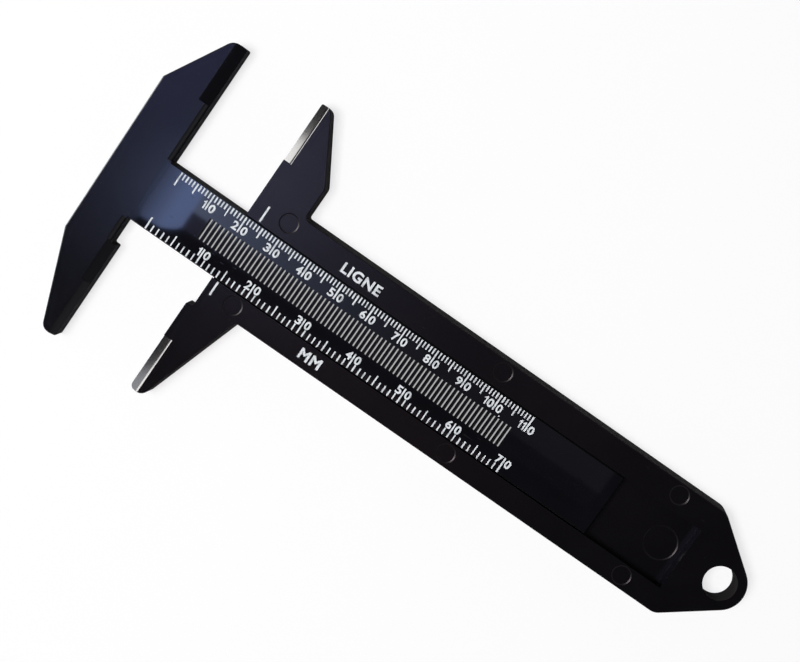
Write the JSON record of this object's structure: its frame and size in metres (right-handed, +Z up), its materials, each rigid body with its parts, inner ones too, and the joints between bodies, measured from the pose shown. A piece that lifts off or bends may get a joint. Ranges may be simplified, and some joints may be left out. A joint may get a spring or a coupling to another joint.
{
  "type": "button gauge",
  "caption": "Flat plastic slide gauge for measuring buttons: jaws on both sides, a sliding rule with two scales and a ribbed thumb grip, and a tapered tail with a hanging hole.",
  "frame": {"origin": "on the underside, where the plane of the body's index marks crosses the middle line of the slide", "axes": "+X along the slide towards the tail's hanging hole, +Y across the slide towards the ligne scale, +Z up from the underside"},
  "size_m": [0.1274, 0.0567, 0.005],
  "materials": {
    "body_plastic": "near-black moulded plastic with a soft sheen",
    "rule_plastic": "very dark navy moulded plastic, smoother than the body"
  },
  "bodies": {
    "body": {"gauge_body": "body_plastic"},
    "rule": {"sliding_rule": "rule_plastic"}
  },
  "joints": [
    {"name": "rule_slide", "type": "slide", "parent": "body", "child": "rule", "axis": [-1, 0, 0], "range_m": [-0.01473, 0.0552]}
  ]
}
